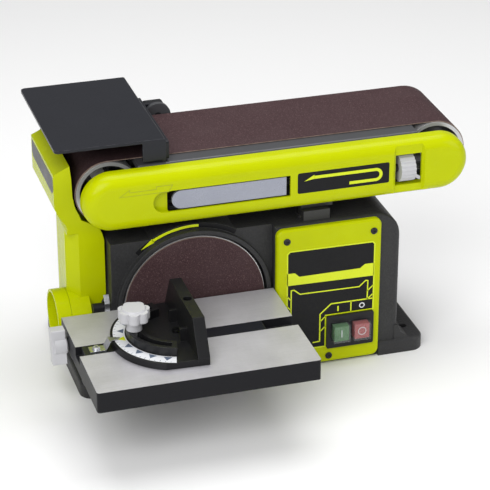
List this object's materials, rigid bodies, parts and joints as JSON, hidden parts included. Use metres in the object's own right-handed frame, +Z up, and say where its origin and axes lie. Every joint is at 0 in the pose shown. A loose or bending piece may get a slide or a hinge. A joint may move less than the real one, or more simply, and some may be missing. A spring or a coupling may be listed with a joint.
{
  "type": "belt disc sander",
  "caption": "Bench sander with a tilting abrasive belt arm above a round sanding disc, a tilting disc table with mitre gauge, a dust hood and push-button switch.",
  "frame": {"origin": "centre of the four bench bolt holes, on the underside of the base (z = 0 is the bench)", "axes": "+X to the right along the sanding belt, +Y from the disc towards the rear of the machine, +Z up"},
  "size_m": [0.461, 0.339, 0.275],
  "materials": {
    "abrasive": "brown aluminium oxide grit on cloth",
    "black_metal": "black powder coat",
    "black_plastic": "moulded black, fine texture",
    "black_screw": "black oxide screws",
    "casting_grey": "hammered dark grey enamel",
    "clear_cap": "clear flexible cap",
    "copper": "lacquered windings and laminations",
    "drum_alloy": "turned aluminium",
    "green_button": "green push button",
    "grey_steel": "grey painted steel",
    "lever_silver": "silver lacquer",
    "lime_plastic": "moulded yellow-green, satin",
    "red_button": "red push button",
    "rubber": "black rubber",
    "steel": "machined steel",
    "table_alloy": "ground top, black painted sides",
    "white_plastic": "light grey moulded",
    "zinc": "bright zinc plate"
  },
  "bodies": {
    "base": {"base_casting": "casting_grey", "arm_rest_post": "grey_steel", "pivot_sleeve": "steel", "drive_bearings": "steel", "motor_housing": "black_metal", "stator": "copper", "motor_bearings": "steel", "drive_ribbed_belt": "rubber", "rear_cover": "black_plastic", "housing_screws": "black_screw", "dust_hood": "lime_plastic", "dust_port": "lime_plastic", "table_brackets": "grey_steel", "table_pivot_bolt": "zinc", "table_stop_pin": "black_plastic", "bevel_pointer": "zinc", "switch_plate": "lime_plastic", "switch_plate_screws": "black_screw", "switch_housing": "black_plastic", "cord_gland": "black_plastic"},
    "spindle": {"motor_shaft": "steel", "rotor": "steel", "motor_fan": "black_plastic", "disc_plate": "drum_alloy", "abrasive_disc": "abrasive", "motor_pulley": "steel"},
    "drive_roller": {"drive_drum": "drum_alloy", "drive_shaft": "steel", "driven_pulley": "steel"},
    "belt_arm": {"sanding_belt": "abrasive", "platen_frame": "grey_steel", "rear_plate": "grey_steel", "arm_screws": "zinc", "arm_rest_tab": "grey_steel", "arm_lock_bolt": "zinc", "side_cover": "lime_plastic", "lever_bracket": "grey_steel", "lever_pin": "steel"},
    "idler_carriage": {"tension_rod": "zinc", "idler_axle": "steel", "idler_carriage_block": "grey_steel"},
    "idler_roller": {"idler_drum": "drum_alloy", "idler_bearings": "steel"},
    "lever": {"tension_lever": "lever_silver"},
    "tracking": {"tracking_knob": "white_plastic"},
    "stop": {"work_stop": "black_metal", "stop_bar": "black_metal", "stop_bar_screws": "black_screw"},
    "stop_clamp": {"stop_knob": "black_plastic"},
    "table": {"disc_table": "table_alloy"},
    "table_lock": {"table_lock_knob": "white_plastic"},
    "mitre_slide_bar": {"mitre_bar": "black_metal", "mitre_screws": "zinc", "mitre_pointer": "zinc"},
    "mitre_protractor": {"mitre_head": "black_plastic"},
    "mitre_clamp": {"mitre_knob": "white_plastic"},
    "start": {"start_button": "green_button", "start_cap": "clear_cap"},
    "stop_switch": {"stop_button": "red_button", "stop_cap": "clear_cap"}
  },
  "joints": [
    {"name": "arm_tilt", "type": "hinge", "parent": "base", "child": "belt_arm", "pos_m": [-0.1465, 0.06, 0.2155], "axis": [0, -1, 0], "range_deg": [0, 90]},
    {"name": "disc_spin", "type": "hinge", "parent": "base", "child": "spindle", "pos_m": [-0.0645, 0, 0.0915], "axis": [0, 1, 0], "continuous": true},
    {"name": "drive_drum_spin", "type": "hinge", "parent": "base", "child": "drive_roller", "pos_m": [-0.1465, 0, 0.2155], "axis": [0, 1, 0], "continuous": true},
    {"name": "idler_slide", "type": "slide", "parent": "belt_arm", "child": "idler_carriage", "axis": [-1, 0, 0], "range_m": [0, 0.0042]},
    {"name": "idler_spin", "type": "hinge", "parent": "idler_carriage", "child": "idler_roller", "pos_m": [0.2035, 0, 0.2155], "axis": [0, 1, 0], "continuous": true},
    {"name": "lever_swing", "type": "hinge", "parent": "belt_arm", "child": "lever", "pos_m": [-0.073, -0.08, 0.2155], "axis": [0, 0, -1], "range_deg": [0, 90]},
    {"name": "tracking_turn", "type": "hinge", "parent": "idler_carriage", "child": "tracking", "pos_m": [0.161, -0.08, 0.2155], "axis": [1, 0, 0], "range_deg": [-180, 180]},
    {"name": "stop_level", "type": "hinge", "parent": "belt_arm", "child": "stop", "pos_m": [-0.067, 0.058, 0.247], "axis": [0, 1, 0], "range_deg": [0, 90]},
    {"name": "stop_knob_turn", "type": "hinge", "parent": "belt_arm", "child": "stop_clamp", "pos_m": [-0.067, 0.065, 0.247], "axis": [0, 1, 0], "range_deg": [-180, 180]},
    {"name": "table_tilt", "type": "hinge", "parent": "base", "child": "table", "pos_m": [-0.092, -0.108, 0.08], "axis": [1, 0, 0], "range_deg": [0, 30]},
    {"name": "table_lock_turn", "type": "hinge", "parent": "table", "child": "table_lock", "pos_m": [-0.213, -0.108, 0.08], "axis": [1, 0, 0], "range_deg": [-180, 180]},
    {"name": "mitre_slide", "type": "slide", "parent": "table", "child": "mitre_slide_bar", "axis": [1, 0, 0], "range_m": [-0.04, 0.09]},
    {"name": "mitre_turn", "type": "hinge", "parent": "mitre_slide_bar", "child": "mitre_protractor", "pos_m": [-0.105, -0.1557, 0.0973], "axis": [0, 0, 1], "range_deg": [-60, 60]},
    {"name": "mitre_knob_turn", "type": "hinge", "parent": "mitre_slide_bar", "child": "mitre_clamp", "pos_m": [-0.148, -0.1557, 0.13], "axis": [0, 0, 1], "range_deg": [-180, 180]},
    {"name": "start_press", "type": "slide", "parent": "base", "child": "start", "axis": [0, 1, 0], "range_m": [0, 0.0025], "stiffness_N_per_m": 600},
    {"name": "stop_press", "type": "slide", "parent": "base", "child": "stop_switch", "axis": [0, 1, 0], "range_m": [0, 0.0025], "stiffness_N_per_m": 600}
  ],
  "couplings": [
    {"joint": "drive_drum_spin", "follows": "disc_spin", "ratio": 1},
    {"joint": "idler_spin", "follows": "disc_spin", "ratio": 1},
    {"joint": "lever_swing", "follows": "idler_slide", "rad_per_m": 374},
    {"joint": "stop_level", "follows": "arm_tilt", "ratio": 1}
  ]
}
